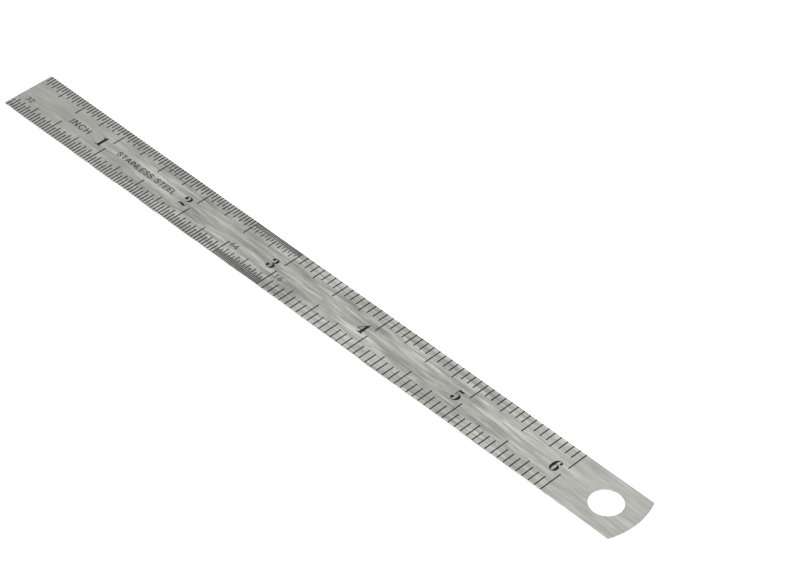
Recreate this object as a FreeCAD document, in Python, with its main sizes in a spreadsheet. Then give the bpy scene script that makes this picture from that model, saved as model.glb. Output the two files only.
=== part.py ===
"""A flexible 6 inch steel rule, built in millimetres with +Z out of its inch face.

The blade is one strip of stainless spring steel, cut square at the zero end and to an arc at
the other, where a hole hangs it on a hook. Its lines and figures are etched into both faces
and filled with black ink. The inch face carries thirty-seconds, sixty-fourths and sixteenths
of an inch on both edges, and the other face carries millimetres and half millimetres.

Row frame: X runs along the blade towards the hanging hole, Y across it, and Z = 0 is the face
that lies on the bench. The origin is the middle of that face.
"""

import FreeCAD, Part
import os
import Sketcher
from FreeCAD import Placement, Rotation, Vector

# --------------------------------------------------------------------------------------------
# Driving dimensions, in millimetres. The sheet holds them all, under these aliases.
# --------------------------------------------------------------------------------------------
SIZES = [
    ("blade_length", 170.5, "zero end to the crown of the round end"),
    ("blade_width", 13.0, "across the two graduated edges"),
    ("blade_thickness", 0.5, "spring steel strip"),
    ("end_radius", 17.0, "arc of the round end"),
    ("edge_break", 0.07, "chamfer along every outer edge of both faces"),
    ("hole_diameter", 6.9, "hanging hole"),
    ("hole_inset", 7.5, "crown of the round end to the hole's centre"),
    ("hole_break", 0.05, "chamfer that takes the burr off the hole"),
    ("etch_depth", 0.05, "how deep the lines and figures are etched"),
    ("ink_sink", 0.01, "how far the ink lies below the steel around it"),
    ("line_width", 0.28, "etched graduation line"),
    ("fine_line_width", 0.23, "line in the closest divisions"),
    ("art_shift", 0.17, "how far the etched pattern sits above the blade's middle"),
    ("inch", 25.4, "length of one inch"),
    ("len_sixty_fourth", 1.5, "line length from the edge"),
    ("len_thirty_second", 2.2, "line length from the edge"),
    ("len_sixteenth", 2.95, "line length from the edge"),
    ("len_quarter", 3.8, "line length from the edge"),
    ("len_half", 4.67, "line length from the edge"),
    ("len_inch", 5.44, "line length from the edge"),
    ("len_half_mm", 2.0, "line length from the edge"),
    ("len_mm", 2.8, "line length from the edge"),
    ("len_five_mm", 3.8, "line length from the edge"),
    ("len_cm", 5.0, "line length from the edge"),
    ("figure_height", 3.0, "bold figures beside the inch lines"),
    ("figure_width", 1.9, "bold figures beside the inch lines"),
    ("figure_gap", 1.2, "a figure's right side to its line"),
    ("cm_figure_height", 2.2, "bold figures beside the centimetre lines"),
    ("cm_figure_width", 1.35, "one bold figure beside a centimetre line"),
    ("cm_figure_gap", 0.75, "a figure's right side to its line"),
    ("cm_digit_space", 0.2, "between the two digits of a centimetre figure"),
    ("division_height", 1.3, "labels that say how many parts an inch is cut into"),
    ("division_width", 1.95, "such a label of two digits"),
    ("division_base", 3.9, "such a label's foot, from the lower edge"),
    ("division_gap", 0.7, "such a label's left side from the line where its parts start"),
    ("division_first", 2.1, "the first such label's left side from the zero end"),
    ("unit_start", 13.95, "left side of the word for the unit"),
    ("unit_end", 19.45, "its right side"),
    ("unit_base", 5.75, "its foot, from the lower edge"),
    ("unit_height", 1.6, "its letters"),
    ("material_start", 28.3, "left side of the words for the material"),
    ("material_end", 45.5, "their right side"),
    ("material_base", 5.85, "their foot, from the lower edge"),
    ("material_height", 1.45, "their letters"),
    ("metric_start", 2.2, "left side of the letters for the metric unit"),
    ("metric_end", 5.5, "their right side"),
]

INCH_COUNT = 6
CM_COUNT = 15
DIVISIONS_64_FROM = 2.5  # inches, where the sixty-fourths start
DIVISIONS_16_FROM = 3.0  # inches, where they end and the sixteenths start
HALF_MM_END = 50  # millimetres, where the half millimetres end
ETCH_OVERSHOOT = 0.2  # how far a cutting shape stands out of the steel

# --------------------------------------------------------------------------------------------
# Letter shapes, each on a body 100 units high, as closed outlines. A step is L x,y for a line
# or C x1,y1 x2,y2 x,y for a cubic curve, and an outline closes on its first point.
# --------------------------------------------------------------------------------------------
BOLD_FIGURES = {
    "0": (62, ["31,101 C 50,101 62,82 62,50 C 62,18 50,-1 31,-1 C 12,-1 0,18 0,50 C 0,82 12,101 31,101",
               "31,96 C 38,96 41,84 41,50 C 41,16 38,4 31,4 C 24,4 21,16 21,50 C 21,84 24,96 31,96"]),
    "1": (58, ["2,0 L 58,0 L 58,5 L 50,6 C 45,7 43,9 43,14 L 43,100 L 37,100 C 32,94 20,89 6,88"
               " L 6,82 L 17,81 C 20,80 21,78 21,74 L 21,14 C 21,9 19,7 14,6 L 2,5"]),
    "2": (62, ["2,0 L 2,8 C 8,22 22,32 32,43 C 38,50 41,60 41,76 C 41,90 38,96 31,96"
               " C 24,96 19,94 17,89 C 24,88 28,82 28,75 C 28,67 22,62 15,62 C 8,62 3,67 3,75"
               " C 3,91 16,101 34,101 C 52,101 62,90 62,76 C 62,62 52,54 40,46 C 28,38 18,30 13,21"
               " C 17,23 22,24 27,24 C 38,24 44,18 50,18 C 55,18 57,21 58,28 L 62,28"
               " C 62,10 58,0 46,0 C 36,0 30,8 20,8 C 13,8 9,5 8,0"]),
    "3": (62, ["5,82 C 5,93 16,101 31,101 C 48,101 57,92 57,77 C 57,64 48,56 38,53"
               " C 52,50 62,42 62,27 C 62,9 49,-1 30,-1 C 13,-1 2,8 2,21 C 2,29 7,34 14,34"
               " C 21,34 26,29 26,22 C 26,15 22,11 17,10 C 20,6 25,4 30,4 C 38,4 41,11 41,27"
               " C 41,43 36,50 24,50 L 20,50 L 20,55 L 24,55 C 33,55 37,62 37,77 C 37,91 34,96 29,96"
               " C 25,96 22,95 19,92 C 24,91 27,87 27,82 C 27,76 22,71 16,71 C 9,71 5,76 5,82"]),
    "4": (62, ["18,0 L 62,0 L 62,5 L 58,6 C 55,7 54,9 54,14 L 54,27 L 62,27 L 62,33 L 54,33"
               " L 54,101 L 49,101 L 0,33 L 0,27 L 33,27 L 33,14 C 33,9 31,7 27,6 L 18,5",
               "33,33 L 8,33 L 33,69"]),
    "5": (62, ["9,101 C 20,98 40,98 53,101 C 52,88 44,82 32,82 C 25,82 19,83 15,85 L 15,57"
               " C 20,62 27,64 35,64 C 52,64 62,50 62,32 C 62,12 49,-1 29,-1 C 12,-1 2,8 2,20"
               " C 2,28 7,33 14,33 C 21,33 25,28 25,22 C 25,16 21,12 16,11 C 19,6 24,4 29,4"
               " C 38,4 41,14 41,32 C 41,50 38,59 31,59 C 23,59 17,55 14,48 L 9,48"]),
    "6": (62, ["33,101 C 12,101 0,80 0,49 C 0,18 12,-1 32,-1 C 50,-1 62,12 62,32"
               " C 62,50 52,62 38,62 C 31,62 26,60 22,55 C 22,80 25,96 34,96 C 38,96 41,95 44,92"
               " C 39,90 37,86 37,82 C 37,76 41,72 47,72 C 53,72 57,77 57,83 C 57,94 47,101 33,101",
               "32,57 C 38,57 41,50 41,31 C 41,12 38,4 32,4 C 25,4 22,12 22,32 C 22,50 25,57 32,57"]),
    "7": (62, ["4,101 L 4,70 L 9,70 C 11,79 15,83 23,83 C 33,83 40,78 48,80"
               " C 36,62 20,40 20,12 C 20,3 26,-1 33,-1 C 40,-1 45,4 45,12 C 45,40 54,70 62,92"
               " L 62,98 C 50,93 40,96 30,99 C 20,102 12,101 9,95 L 9,101"]),
    "8": (62, ["31,101 C 48,101 58,91 58,77 C 58,65 51,57 42,54 C 54,49 62,40 62,27"
               " C 62,10 49,-1 31,-1 C 13,-1 0,10 0,26 C 0,38 8,46 18,50 C 9,55 4,64 4,75"
               " C 4,91 14,101 31,101",
               "31,96 C 38,96 42,90 42,78 C 42,68 39,61 34,57 C 25,62 20,68 20,80 C 20,90 24,96 31,96",
               "24,46 C 17,42 14,34 14,24 C 14,11 21,4 31,4 C 41,4 46,10 46,19 C 46,30 38,38 24,46"]),
}

PLAIN_LETTERS = {
    "1": (38, ["24,0 L 38,0 L 38,100 L 28,100 C 26,89 19,83 6,82 L 6,72 L 24,72"]),
    "2": (61, ["4,68 C 5,89 16,101 33,101 C 50,101 60,90 60,73 C 60,60 53,51 41,41"
               " C 28,30 20,22 18,13 L 60,13 L 60,0 L 1,0 C 2,20 12,33 28,46 C 40,56 46,62 46,72"
               " C 46,82 41,88 33,88 C 24,88 19,81 18,68"]),
    "3": (61, ["5,73 C 6,91 17,101 31,101 C 47,101 57,91 57,75 C 57,64 52,57 44,53"
               " C 55,49 61,40 61,28 C 61,10 49,-1 31,-1 C 13,-1 2,9 1,28 L 15,28"
               " C 16,17 22,12 31,12 C 41,12 46,18 46,29 C 46,40 40,46 29,46 L 24,46 L 24,58"
               " L 28,58 C 38,58 43,64 43,74 C 43,83 39,88 31,88 C 23,88 19,83 18,73"]),
    "4": (64, ["38,0 L 52,0 L 52,23 L 64,23 L 64,35 L 52,35 L 52,100 L 41,100 L 0,36 L 0,23 L 38,23",
               "38,35 L 12,35 L 38,77"]),
    "6": (61, ["58,76 C 55,92 46,101 33,101 C 13,101 1,82 1,46 C 1,14 12,-1 32,-1"
               " C 50,-1 61,12 61,31 C 61,51 50,63 35,63 C 26,63 20,60 15,53"
               " C 16,77 22,88 33,88 C 40,88 43,84 45,76",
               "32,51 C 41,51 47,43 47,31 C 47,19 41,11 32,11 C 23,11 16,19 16,31 C 16,43 22,51 32,51"]),
    "A": (78, ["0,0 L 15,0 L 24,29 L 54,29 L 63,0 L 78,0 L 47,100 L 31,100",
               "28,42 L 50,42 L 39,80"]),
    "C": (78, ["77,68 C 73,89 60,101 40,101 C 15,101 0,82 0,50 C 0,18 15,-1 40,-1"
               " C 61,-1 75,12 78,36 L 64,36 C 62,20 53,12 40,12 C 24,12 15,25 15,50"
               " C 15,76 24,88 40,88 C 52,88 60,81 63,68"]),
    "E": (60, ["0,0 L 60,0 L 60,13 L 14,13 L 14,44 L 55,44 L 55,57 L 14,57 L 14,87 L 59,87"
               " L 59,100 L 0,100"]),
    "H": (72, ["0,0 L 14,0 L 14,44 L 58,44 L 58,0 L 72,0 L 72,100 L 58,100 L 58,57 L 14,57"
               " L 14,100 L 0,100"]),
    "I": (14, ["0,0 L 14,0 L 14,100 L 0,100"]),
    "L": (56, ["0,0 L 56,0 L 56,13 L 14,13 L 14,100 L 0,100"]),
    "M": (84, ["0,0 L 13,0 L 13,80 L 36,0 L 48,0 L 71,80 L 71,0 L 84,0 L 84,100 L 65,100"
               " L 42,22 L 19,100 L 0,100"]),
    "N": (73, ["0,0 L 14,0 L 14,78 L 58,0 L 73,0 L 73,100 L 59,100 L 59,23 L 15,100 L 0,100"]),
    "S": (66, ["61,71 C 60,90 50,101 32,101 C 14,101 3,90 3,74 C 3,56 16,51 31,46"
               " C 45,42 50,38 50,29 C 50,18 43,12 33,12 C 21,12 15,19 14,32 L 0,32"
               " C 1,11 12,-1 33,-1 C 53,-1 65,11 65,29 C 65,47 52,54 36,58 C 22,62 17,66 17,74"
               " C 17,83 23,88 32,88 C 41,88 46,83 47,71"]),
    "T": (68, ["27,0 L 41,0 L 41,87 L 68,87 L 68,100 L 0,100 L 0,87 L 27,87"]),
}
UNITS_HIGH = 100.0
WORD_SPACE = 72  # units
LETTER_STRETCH = 1.1  # plain letters are cut a little wide

# --------------------------------------------------------------------------------------------
# The document and its sheet
# --------------------------------------------------------------------------------------------
doc = FreeCAD.newDocument("steel_rule")
sheet = doc.addObject("Spreadsheet::Sheet", "sizes")
for row, (alias, value, note) in enumerate(SIZES, start=1):
    sheet.set(f"A{row}", note)
    sheet.set(f"B{row}", str(value))
    sheet.setAlias(f"B{row}", alias)
doc.recompute()


def size(alias):
    """The value of one cell of the sheet."""
    return float(sheet.get(alias))


# --------------------------------------------------------------------------------------------
# Plates: the blank strip, and the level that the ink fills it to
# --------------------------------------------------------------------------------------------
def origin_plane(body, role):
    return [f for f in body.Origin.OriginFeatures if f.Role == role][0]


def outline_sketch(body, name, inset):
    """The strip's outline, drawn inset by that expression on every side."""
    half_length = size("blade_length") / 2
    half_width = size("blade_width") / 2
    radius = size("end_radius")
    centre_x = half_length - radius
    corner_x = centre_x + (radius**2 - half_width**2) ** 0.5
    sketch = body.newObject("Sketcher::SketchObject", name)
    sketch.AttachmentSupport = (origin_plane(body, "XY_Plane"), [""])
    sketch.MapMode = "FlatFace"
    low_left, low_right = Vector(-half_length, -half_width, 0), Vector(corner_x, -half_width, 0)
    top_left, top_right = Vector(-half_length, half_width, 0), Vector(corner_x, half_width, 0)
    crown = Vector(half_length, 0, 0)
    low = sketch.addGeometry(Part.LineSegment(low_left, low_right))
    arc = sketch.addGeometry(Part.Arc(low_right, crown, top_right))
    top = sketch.addGeometry(Part.LineSegment(top_right, top_left))
    end = sketch.addGeometry(Part.LineSegment(top_left, low_left))
    add = lambda *words: sketch.addConstraint(Sketcher.Constraint(*words))
    add("Coincident", low, 2, arc, 1)
    add("Coincident", arc, 2, top, 1)
    add("Coincident", top, 2, end, 1)
    add("Coincident", end, 2, low, 1)
    add("Horizontal", low)
    add("Horizontal", top)
    add("Symmetric", low, 1, end, 1, -1)
    add("PointOnObject", arc, 3, -1)
    width = add("DistanceY", end, 2, end, 1, 2 * half_width)
    back = add("DistanceX", low, 1, -1, 1, half_length)
    reach = add("DistanceX", -1, 1, arc, 3, centre_x)
    round_end = add("Radius", arc, radius)
    sketch.setExpression(f"Constraints[{width}]", f"sizes.blade_width - 2 * {inset}")
    sketch.setExpression(f"Constraints[{back}]", f"sizes.blade_length / 2 - {inset}")
    sketch.setExpression(f"Constraints[{reach}]", "sizes.blade_length / 2 - sizes.end_radius")
    sketch.setExpression(f"Constraints[{round_end}]", f"sizes.end_radius - {inset}")
    return sketch


def face_edges(shape, lift, thickness):
    """Names of the edges that lie in the two broad faces."""
    levels = (lift, lift + thickness)
    found = []
    for number, edge in enumerate(shape.Edges, start=1):
        box = edge.BoundBox
        if any(abs(box.ZMin - z) < 1e-6 and abs(box.ZMax - z) < 1e-6 for z in levels):
            found.append(f"Edge{number}")
    return found


def plate(name, inset):
    """A body of the strip's shape, inset on all sides, with its outer edges eased."""
    body = doc.addObject("PartDesign::Body", name)
    sketch = outline_sketch(body, name + "_outline", inset)
    pad = body.newObject("PartDesign::Pad", name + "_pad")
    pad.Profile = sketch
    pad.setExpression("Length", f"sizes.blade_thickness - 2 * {inset}")
    doc.recompute()
    eased = body.newObject("PartDesign::Chamfer", name + "_edges")
    eased.Base = (pad, face_edges(pad.Shape, 0.0, pad.Length.Value))
    eased.setExpression("Size", "sizes.edge_break")
    body.setExpression("Placement.Base.z", inset)
    sketch.Visibility = False
    doc.recompute()
    return body


def hang_hole(body):
    """The hanging hole through the strip, with its burr taken off on both faces."""
    sketch = body.newObject("Sketcher::SketchObject", "hole_circle")
    sketch.AttachmentSupport = (origin_plane(body, "XY_Plane"), [""])
    sketch.MapMode = "FlatFace"
    centre_x = size("blade_length") / 2 - size("hole_inset")
    circle = sketch.addGeometry(
        Part.Circle(Vector(centre_x, 0, 0), Vector(0, 0, 1), size("hole_diameter") / 2))
    add = lambda *words: sketch.addConstraint(Sketcher.Constraint(*words))
    add("PointOnObject", circle, 3, -1)
    reach = add("DistanceX", -1, 1, circle, 3, centre_x)
    across = add("Diameter", circle, size("hole_diameter"))
    sketch.setExpression(f"Constraints[{reach}]", "sizes.blade_length / 2 - sizes.hole_inset")
    sketch.setExpression(f"Constraints[{across}]", "sizes.hole_diameter")
    before = body.Shape.Volume
    hole = body.newObject("PartDesign::Pocket", "hole_cut")
    hole.Profile = sketch
    hole.Type = "ThroughAll"
    hole.Reversed = True
    doc.recompute()
    assert body.Shape.Volume < before, "the hole cut nothing"
    chamfer = body.newObject("PartDesign::Chamfer", "hole_break")
    rims = []
    for number, edge in enumerate(hole.Shape.Edges, start=1):
        round_edge = isinstance(edge.Curve, Part.Circle) and edge.isClosed()
        if round_edge and abs(edge.Curve.Radius - size("hole_diameter") / 2) < 1e-6:
            rims.append(f"Edge{number}")
    chamfer.Base = (hole, rims)
    chamfer.setExpression("Size", "sizes.hole_break")
    sketch.Visibility = False
    doc.recompute()


# --------------------------------------------------------------------------------------------
# Marks: what is etched. A mark is drawn on its own face, with x from the zero end and y from
# the lower edge, as the face is read, and stands from the bottom of the etching upwards.
# --------------------------------------------------------------------------------------------
def mark_height():
    return size("etch_depth") + ETCH_OVERSHOOT


def line_mark(x, y_low, y_high, width):
    return Part.makeBox(width, y_high - y_low, mark_height(), Vector(x - width / 2, y_low, 0))


def edge_lines(positions, length_of, width_of, upper):
    """Lines from one edge inwards. They run off the steel, as the etched ones do."""
    middle = size("blade_width") / 2
    run_off = 2 * ETCH_OVERSHOOT
    marks = []
    for x in positions:
        reach = length_of(x)
        if upper:
            inner = size("blade_width") - reach + size("art_shift")
            marks.append(line_mark(x, inner, 2 * middle + run_off, width_of(x)))
        else:
            inner = reach + size("art_shift")
            marks.append(line_mark(x, -run_off, inner, width_of(x)))
    return marks


def inch_positions():
    """Every line of the inch face, from the first thirty-second to the 6 inch line."""
    inch = size("inch")
    stretches = [(0.0, DIVISIONS_64_FROM, 32), (DIVISIONS_64_FROM, DIVISIONS_16_FROM, 64),
                 (DIVISIONS_16_FROM, INCH_COUNT, 16)]
    found = []
    for start, end, per_inch in stretches:
        steps = round((end - start) * per_inch)
        found += [(start + step / per_inch) * inch for step in range(1, steps + 1)]
    return found


def inch_length(x):
    """A line is as long as the coarsest division that it marks."""
    ranks = [(1, "len_inch"), (2, "len_half"), (4, "len_quarter"), (16, "len_sixteenth"),
             (32, "len_thirty_second"), (64, "len_sixty_fourth")]
    for per_inch, alias in ranks:
        steps = x / size("inch") * per_inch
        if abs(steps - round(steps)) < 1e-6:
            return size(alias)
    raise ValueError(f"no division at {x}")


def inch_width(x):
    in_64ths = DIVISIONS_64_FROM < x / size("inch") < DIVISIONS_16_FROM - 1e-6
    return size("fine_line_width") if in_64ths else size("line_width")


def mm_positions():
    """Every line of the metric face, from the first half millimetre to 15 cm."""
    halves = [step / 2 for step in range(1, 2 * HALF_MM_END)]
    wholes = list(range(HALF_MM_END, 10 * CM_COUNT + 1))
    return halves + wholes


def mm_length(x):
    for step, alias in [(10, "len_cm"), (5, "len_five_mm"), (1, "len_mm")]:
        if abs(x / step - round(x / step)) < 1e-6:
            return size(alias)
    return size("len_half_mm")


def mm_width(x):
    return size("fine_line_width") if x < HALF_MM_END else size("line_width")


def outline_wire(steps, place):
    """One closed outline of a letter as a wire, with place(x, y) giving each point."""
    words = steps.replace("L", "|L").replace("C", "|C").split("|")
    point = lambda pair: place(*[float(v) for v in pair.split(",")])
    first = here = point(words[0].strip())
    edges = []
    for word in words[1:]:
        kind, *pairs = word.split()
        points = [point(pair) for pair in pairs]
        if kind == "L":
            edges.append(Part.makeLine(here, points[0]))
        else:
            curve = Part.BezierCurve()
            curve.setPoles([here] + points)
            edges.append(curve.toShape())
        here = points[-1]
    if (here - first).Length > 1e-7:
        edges.append(Part.makeLine(here, first))
    return Part.Wire(edges)


def letter_mark(glyph, x, y, x_scale, y_scale):
    """One letter as a solid, its lower left corner at x, y."""
    place = lambda u, v: Vector(x + u * x_scale, y + v * y_scale, 0)
    solids = []
    for steps in glyph[1]:
        face = Part.Face(outline_wire(steps, place))
        if face.normalAt(0, 0).z < 0:
            face.reverse()
        solids.append(face.extrude(Vector(0, 0, mark_height())))
    letter = solids[0]
    for counter in solids[1:]:
        letter = letter.cut(counter)
    return letter.Solids[0]


def text_marks(text, left, right, base, height):
    """A line of plain letters from left to right, which share out what the letters leave."""
    y_scale = height / UNITS_HIGH
    x_scale = y_scale * LETTER_STRETCH
    word_space = WORD_SPACE * y_scale
    letters = sum(PLAIN_LETTERS[c][0] for c in text if c != " ") * x_scale
    spaces = text.count(" ")
    gap = (right - left - letters - spaces * word_space) / (len(text) - 1 - 2 * spaces)
    marks = []
    x = left
    for letter in text:
        if letter == " ":
            x += word_space - gap
            continue
        marks.append(letter_mark(PLAIN_LETTERS[letter], x, base, x_scale, y_scale))
        x += PLAIN_LETTERS[letter][0] * x_scale + gap
    return marks


def figure_marks(text, right, middle, height, width, gap):
    """A bold number whose right side is at right and whose middle height is middle."""
    y_scale = height / UNITS_HIGH
    x_scale = width / BOLD_FIGURES["0"][0]
    base = middle - height / 2
    marks = []
    for digit in reversed(text):
        turned = digit == "9"  # a 9 is a 6 turned half round
        glyph = BOLD_FIGURES["6" if turned else digit]
        left = right - glyph[0] * x_scale
        mark = letter_mark(glyph, left, base, x_scale, y_scale)
        if turned:
            mark.rotate(Vector((left + right) / 2, middle, 0), Vector(0, 0, 1), 180)
        marks.append(mark)
        right = left - gap
    return marks


# --------------------------------------------------------------------------------------------
# Placing the marks of a face on the blade
# --------------------------------------------------------------------------------------------
def front_place(shape):
    """From the inch face's own drawing to the row frame."""
    shape.translate(Vector(-size("blade_length") / 2, -size("blade_width") / 2,
                           size("blade_thickness") - size("etch_depth")))
    return shape


def back_place(shape):
    """From the metric face's own drawing to the row frame: turned over about the long axis."""
    shape = front_place(shape)
    turn = Placement(Vector(0, 0, size("blade_thickness")), Rotation(Vector(1, 0, 0), 180))
    shape.transformShape(turn.toMatrix())
    return shape


def inch_figures():
    middle = (size("blade_width") + size("art_shift")) / 2
    marks = []
    for number in range(1, INCH_COUNT + 1):
        right = number * size("inch") - size("figure_gap")
        marks += figure_marks(str(number), right, middle, size("figure_height"),
                              size("figure_width"), 0.0)
    return marks


def cm_figures():
    middle = size("blade_width") / 2
    marks = []
    for number in range(1, CM_COUNT + 1):
        right = 10 * number - size("cm_figure_gap")
        marks += figure_marks(str(number), right, middle, size("cm_figure_height"),
                              size("cm_figure_width"), size("cm_digit_space"))
    return marks


def division_labels():
    """How many parts each inch is cut into, beside where each kind of division starts."""
    gap = size("division_gap")
    starts = [("32", size("division_first")), ("64", DIVISIONS_64_FROM * size("inch") + gap),
              ("16", DIVISIONS_16_FROM * size("inch") + gap)]
    marks = []
    for text, left in starts:
        marks += text_marks(text, left, left + size("division_width"), size("division_base"),
                            size("division_height"))
    return marks


def front_groups():
    """Every kind of mark on the inch face, by the name of its filling."""
    lines = inch_positions()
    return {
        "front_lower_edge_graduations": edge_lines(lines, inch_length, inch_width, upper=False),
        "front_upper_edge_graduations": edge_lines(lines, inch_length, inch_width, upper=True),
        "front_inch_figures": inch_figures(),
        "front_division_labels": division_labels(),
        "front_unit_label": text_marks("INCH", size("unit_start"), size("unit_end"),
                                       size("unit_base"), size("unit_height")),
        "front_material_label": text_marks("STAINLESS STEEL", size("material_start"), size("material_end"),
                                           size("material_base"), size("material_height")),
    }


def back_groups():
    """Every kind of mark on the metric face, by the name of its filling."""
    lines = mm_positions()
    return {
        "back_lower_edge_graduations": edge_lines(lines, mm_length, mm_width, upper=False),
        "back_upper_edge_graduations": edge_lines(lines, mm_length, mm_width, upper=True),
        "back_centimetre_figures": cm_figures(),
        "back_unit_label": text_marks("CM", size("metric_start"), size("metric_end"),
                                      size("unit_base"), size("unit_height")),
    }


def add_marks(name, marks, place):
    """The cutting shapes of one kind of mark, as one object of the document."""
    feature = doc.addObject("Part::Feature", "marks_of_" + name)
    feature.Shape = Part.makeCompound([place(mark) for mark in marks])
    return feature


# --------------------------------------------------------------------------------------------
# The blade is the blank less every mark, and the ink is what of each mark lies below its level
# --------------------------------------------------------------------------------------------
blank = plate("blank", "0")
hang_hole(blank)
ink_level = plate("ink_level", "sizes.ink_sink")

etchings = {name: add_marks(name, marks, front_place) for name, marks in front_groups().items()}
etchings |= {name: add_marks(name, marks, back_place) for name, marks in back_groups().items()}

all_marks = doc.addObject("Part::Compound", "all_marks")
all_marks.Links = list(etchings.values())
blade = doc.addObject("Part::Cut", "blade")
blade.Base = blank
blade.Tool = all_marks

pieces = [blade]
for name, etching in etchings.items():
    ink = doc.addObject("Part::Common", name)
    ink.Base = ink_level
    ink.Tool = etching
    pieces.append(ink)
doc.recompute()

for thing in doc.Objects:
    if "Invalid" in thing.State or "Error" in thing.State:
        raise RuntimeError(f"{thing.Label} failed: {thing.State}")
for piece in pieces:
    if piece.Shape.isNull() or not piece.Shape.isValid() or not piece.Shape.Solids:
        raise RuntimeError(f"{piece.Label} has no valid solid")

os.makedirs("parts", exist_ok=True)
for piece in pieces:
    piece.Shape.exportStep(f"parts/{piece.Label}.step")
    print(piece.Label, len(piece.Shape.Solids), "solids", len(piece.Shape.Faces), "faces")
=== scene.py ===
"""The looks of the 6 inch steel rule: satin steel brushed along the blade, and black etched marks.

Everything is in metres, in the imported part's own frame: +X along the blade from its zero end
to its hanging hole, +Y across it, +Z out of the inch face.
"""

from math import radians

import bpy
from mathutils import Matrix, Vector


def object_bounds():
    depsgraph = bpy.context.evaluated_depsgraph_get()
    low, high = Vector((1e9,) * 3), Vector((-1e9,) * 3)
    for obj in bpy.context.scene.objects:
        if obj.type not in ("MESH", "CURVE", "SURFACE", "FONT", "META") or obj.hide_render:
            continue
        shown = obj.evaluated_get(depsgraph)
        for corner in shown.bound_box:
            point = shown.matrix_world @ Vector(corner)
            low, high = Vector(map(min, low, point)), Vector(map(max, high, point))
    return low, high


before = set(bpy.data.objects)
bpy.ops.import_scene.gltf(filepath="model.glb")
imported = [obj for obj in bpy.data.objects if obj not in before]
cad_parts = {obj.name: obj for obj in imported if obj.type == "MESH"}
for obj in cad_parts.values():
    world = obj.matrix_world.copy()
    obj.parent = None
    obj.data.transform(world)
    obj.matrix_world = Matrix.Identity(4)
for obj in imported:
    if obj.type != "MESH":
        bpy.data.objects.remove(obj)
CAD_LOW, CAD_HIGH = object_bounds()

MM = 0.001
FLOOR_GAP = 0.02 * MM  # between the rule and the floor that it lies on
FLOOR_GLOW = 1.0  # the floor also shines, so it reads as plain white and hides the shadow on it

# The cloudy strokes are faint over these lengths of the blade, and fade in beyond them.
CALM_AT_ZERO = 12 * MM
CALM_AT_HOLE = 12 * MM
CALM_FADE = 30 * MM
EDGE_SHEEN_WIDTH = 0.15 * MM  # width of the lighter strip along both long edges, a painted sheen where the edges catch the light

# Where the camera stands: it looks down along the blade from beyond the hanging hole.
CAMERA_PLACE = Vector((320.44, -327.1, 424.11)) * MM
CAMERA_TURN = [radians(angle) for angle in (47.232, -2.43, 44.64)]
CAMERA_LENS = 145.04  # millimetres, on the 36 mm sensor


# --------------------------------------------------------------------------------------------
# Small helpers for node trees
# --------------------------------------------------------------------------------------------
class Tree:
    """A material's node tree, with short calls for the nodes that the looks are made of."""

    def __init__(self, name):
        self.material = bpy.data.materials.new(name)
        self.material.use_nodes = True
        self.nodes = self.material.node_tree.nodes
        self.links = self.material.node_tree.links
        self.shader = self.nodes["Principled BSDF"]

    def node(self, kind, inputs=None, **settings):
        made = self.nodes.new("ShaderNode" + kind)
        for name, value in settings.items():
            setattr(made, name, value)
        for name, value in (inputs or {}).items():
            self.feed(made, name, value)
        return made

    def feed(self, node, name, value):
        """Sets an input to a number or colour, or joins it to another node's socket."""
        if isinstance(value, bpy.types.NodeSocket):
            self.links.new(value, node.inputs[name])
        else:
            node.inputs[name].default_value = value

    def math(self, operation, a, b=0.0):
        return self.node("Math", {0: a, 1: b}, operation=operation).outputs[0]

    def place(self, scale, move=(0, 0, 0)):
        """The point of the piece in its own frame, stretched and moved, as a vector socket."""
        inputs = {"Vector": self.point(), "Location": move, "Scale": scale}
        return self.node("Mapping", inputs).outputs["Vector"]

    def point(self):
        return self.node("TexCoord").outputs["Object"]

    def noise(self, vector, detail=3.0, roughness=0.5, distortion=0.0):
        inputs = {"Vector": vector, "Scale": 1.0, "Detail": detail, "Roughness": roughness,
                  "Distortion": distortion}
        return self.node("TexNoise", inputs).outputs["Fac"]

    def span(self, value, low, high, to_low=0.0, to_high=1.0):
        """Maps low..high to to_low..to_high with soft ends."""
        inputs = {"Value": value, "From Min": low, "From Max": high, "To Min": to_low, "To Max": to_high}
        return self.node("MapRange", inputs, interpolation_type="SMOOTHSTEP").outputs["Result"]

    def ramp(self, value, stops):
        made = self.node("ValToRGB", {"Fac": value})
        elements = made.color_ramp.elements
        while len(elements) < len(stops):
            elements.new(0.5)
        for element, (position, colour) in zip(elements, stops):
            element.position = position
            element.color = (*colour, 1.0)
        return made.outputs["Color"]

    def mix(self, factor, a, b, blend="MIX"):
        made = self.node("Mix", data_type="RGBA", blend_type=blend)
        self.feed(made, 0, factor)
        self.feed(made, 6, a)
        self.feed(made, 7, b)
        return made.outputs[2]


def grey(value):
    return (value, value, value, 1.0)


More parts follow.
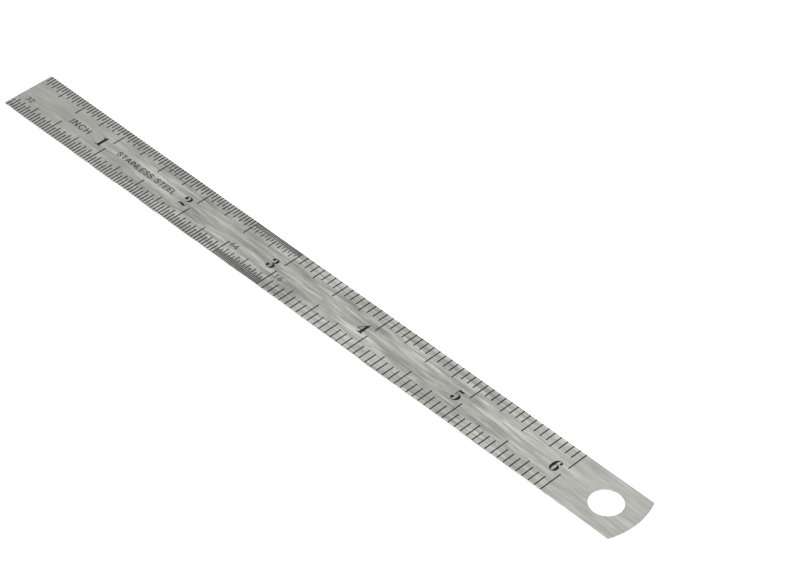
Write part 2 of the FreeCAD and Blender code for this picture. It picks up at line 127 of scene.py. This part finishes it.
# --------------------------------------------------------------------------------------------
# Materials
# --------------------------------------------------------------------------------------------
def steel_material():
    """Satin spring steel: brush lines along the blade, short cloudy strokes, and a painted sheen along both
    long edges.
    """
    tree = Tree("satin_steel")
    hair = tree.noise(tree.place((420, 16000, 4000)), detail=4, roughness=0.65)
    brush = tree.noise(tree.place((170, 5200, 1500), move=(3, 0, 0)), detail=5, roughness=0.68)
    stroke = tree.noise(tree.place((105, 1300, 500), move=(0, 5, 0)),
                        detail=6, roughness=0.7, distortion=0.35)
    flame = tree.noise(tree.place((75, 520, 300), move=(2, 9, 0)),
                       detail=4, roughness=0.6, distortion=0.5)
    cloud = tree.noise(tree.place((22, 90, 60), move=(7, 0, 0)), detail=2)

    x = tree.node("SeparateXYZ", {"Vector": tree.point()}).outputs["X"]
    past_zero = tree.span(x, CAD_LOW.x + CALM_AT_ZERO, CAD_LOW.x + CALM_AT_ZERO + CALM_FADE, 0.3, 1.0)
    short_of_hole = tree.span(x, CAD_HIGH.x - CALM_AT_HOLE - CALM_FADE, CAD_HIGH.x - CALM_AT_HOLE, 1.0, 0.35)
    mottle = tree.math("MULTIPLY", past_zero, short_of_hole)

    swing = tree.math("ADD", tree.math("SUBTRACT", stroke, 0.5),
                      tree.math("MULTIPLY", tree.math("SUBTRACT", flame, 0.5), 0.6))
    shade = tree.math("ADD", tree.math("MULTIPLY", swing, mottle), 0.5)
    colour = tree.ramp(shade, [(0.28, (0.25, 0.255, 0.235)), (0.5, (0.388, 0.388, 0.362)),
                               (0.72, (0.62, 0.62, 0.58))])
    colour = tree.mix(1.0, colour, tree.ramp(brush, [(0.3, (0.8,) * 3), (0.7, (1.2,) * 3)]), "MULTIPLY")
    colour = tree.mix(1.0, colour, tree.ramp(hair, [(0.3, (0.9,) * 3), (0.7, (1.1,) * 3)]), "MULTIPLY")
    colour = tree.mix(1.0, colour, tree.ramp(cloud, [(0.35, (0.95,) * 3), (0.65, (1.05,) * 3)]), "MULTIPLY")

    # Painted sheen: the base colour turns lighter in a thin strip along both long edges, where they catch the
    # light.
    y = tree.math("ABSOLUTE", tree.node("SeparateXYZ", {"Vector": tree.point()}).outputs["Y"])
    edge_sheen = tree.math("MULTIPLY", tree.span(y, CAD_HIGH.y - EDGE_SHEEN_WIDTH, CAD_HIGH.y), tree.span(brush, 0.4, 0.6))
    colour = tree.mix(edge_sheen, colour, grey(0.58))

    rough = tree.math("ADD", tree.span(shade, 0.3, 0.7, 0.4, 0.3), tree.span(hair, 0.3, 0.7, -0.05, 0.05))
    height = tree.math("ADD", tree.math("MULTIPLY", hair, 0.5), brush)
    bump = tree.node("Bump", {"Height": height, "Strength": 0.1, "Distance": 0.02 * MM})

    tree.feed(tree.shader, "Base Color", colour)
    tree.feed(tree.shader, "Metallic", 1.0)
    tree.feed(tree.shader, "Roughness", rough)
    tree.feed(tree.shader, "Normal", bump.outputs["Normal"])
    return tree.material


def ink_material():
    """Black baked filling: nearly matt, slightly uneven, a little worn along the brush lines."""
    tree = Tree("black_ink")
    grain = tree.noise(tree.place((900, 4200, 4200)), detail=4, roughness=0.6)
    wear = tree.noise(tree.place((120, 2600, 900), move=(2, 0, 0)), detail=3)
    colour = tree.ramp(grain, [(0.25, (0.004, 0.004, 0.004)), (0.75, (0.014, 0.014, 0.013))])
    worn = tree.span(wear, 0.66, 0.8)
    colour = tree.mix(worn, colour, grey(0.05))
    bump = tree.node("Bump", {"Height": grain, "Strength": 0.2, "Distance": 0.01 * MM})
    tree.feed(tree.shader, "Base Color", colour)
    tree.feed(tree.shader, "Roughness", tree.span(grain, 0.3, 0.7, 0.5, 0.7))
    tree.feed(tree.shader, "Specular IOR Level", 0.2)
    tree.feed(tree.shader, "Normal", bump.outputs["Normal"])
    return tree.material


def floor_material():
    tree = Tree("pale_floor")
    tree.feed(tree.shader, "Base Color", grey(0.93))
    tree.feed(tree.shader, "Roughness", 0.9)
    tree.feed(tree.shader, "Emission Color", grey(1.0))
    tree.feed(tree.shader, "Emission Strength", FLOOR_GLOW)
    return tree.material


# --------------------------------------------------------------------------------------------
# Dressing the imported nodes, the floor, the light and the camera
# --------------------------------------------------------------------------------------------
def dress(node, material):
    node.data.materials.clear()
    node.data.materials.append(material)


def lay_floor():
    bpy.ops.mesh.primitive_plane_add(size=12, location=(0, 0, CAD_LOW.z - FLOOR_GAP))
    floor = bpy.context.object
    floor.name = "floor"
    dress(floor, floor_material())


def light_world(strength):
    """A plain bright studio, the same from every side."""
    world = bpy.data.worlds.new("studio")
    bpy.context.scene.world = world
    world.use_nodes = True
    back = world.node_tree.nodes["Background"]
    back.inputs["Color"].default_value = (1.0, 1.0, 1.0, 1.0)
    back.inputs["Strength"].default_value = strength


def softbox(name, place, size, power):
    """A square light that faces the blade's middle."""
    data = bpy.data.lights.new(name, "AREA")
    data.shape = "SQUARE"
    data.size = size
    data.energy = power
    lamp = bpy.data.objects.new(name, data)
    lamp.location = place
    lamp.rotation_euler = (-Vector(place)).to_track_quat("-Z", "Y").to_euler()
    bpy.context.scene.collection.objects.link(lamp)


def set_camera():
    data = bpy.data.cameras.new("camera")
    data.lens = CAMERA_LENS
    data.sensor_width = 36
    data.clip_start = 0.02
    camera = bpy.data.objects.new("camera", data)
    camera.location = CAMERA_PLACE
    camera.rotation_euler = CAMERA_TURN
    bpy.context.scene.collection.objects.link(camera)
    bpy.context.scene.camera = camera


bpy.context.scene.view_settings.view_transform = "Standard"  # plain tones, with a true white and black

steel = steel_material()
ink = ink_material()
for name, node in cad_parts.items():
    dress(node, steel if name == "blade" else ink)

lay_floor()
light_world(0.95)
softbox("key", (-0.38, 0.68, 0.86), 0.3, 0.2)
set_camera()
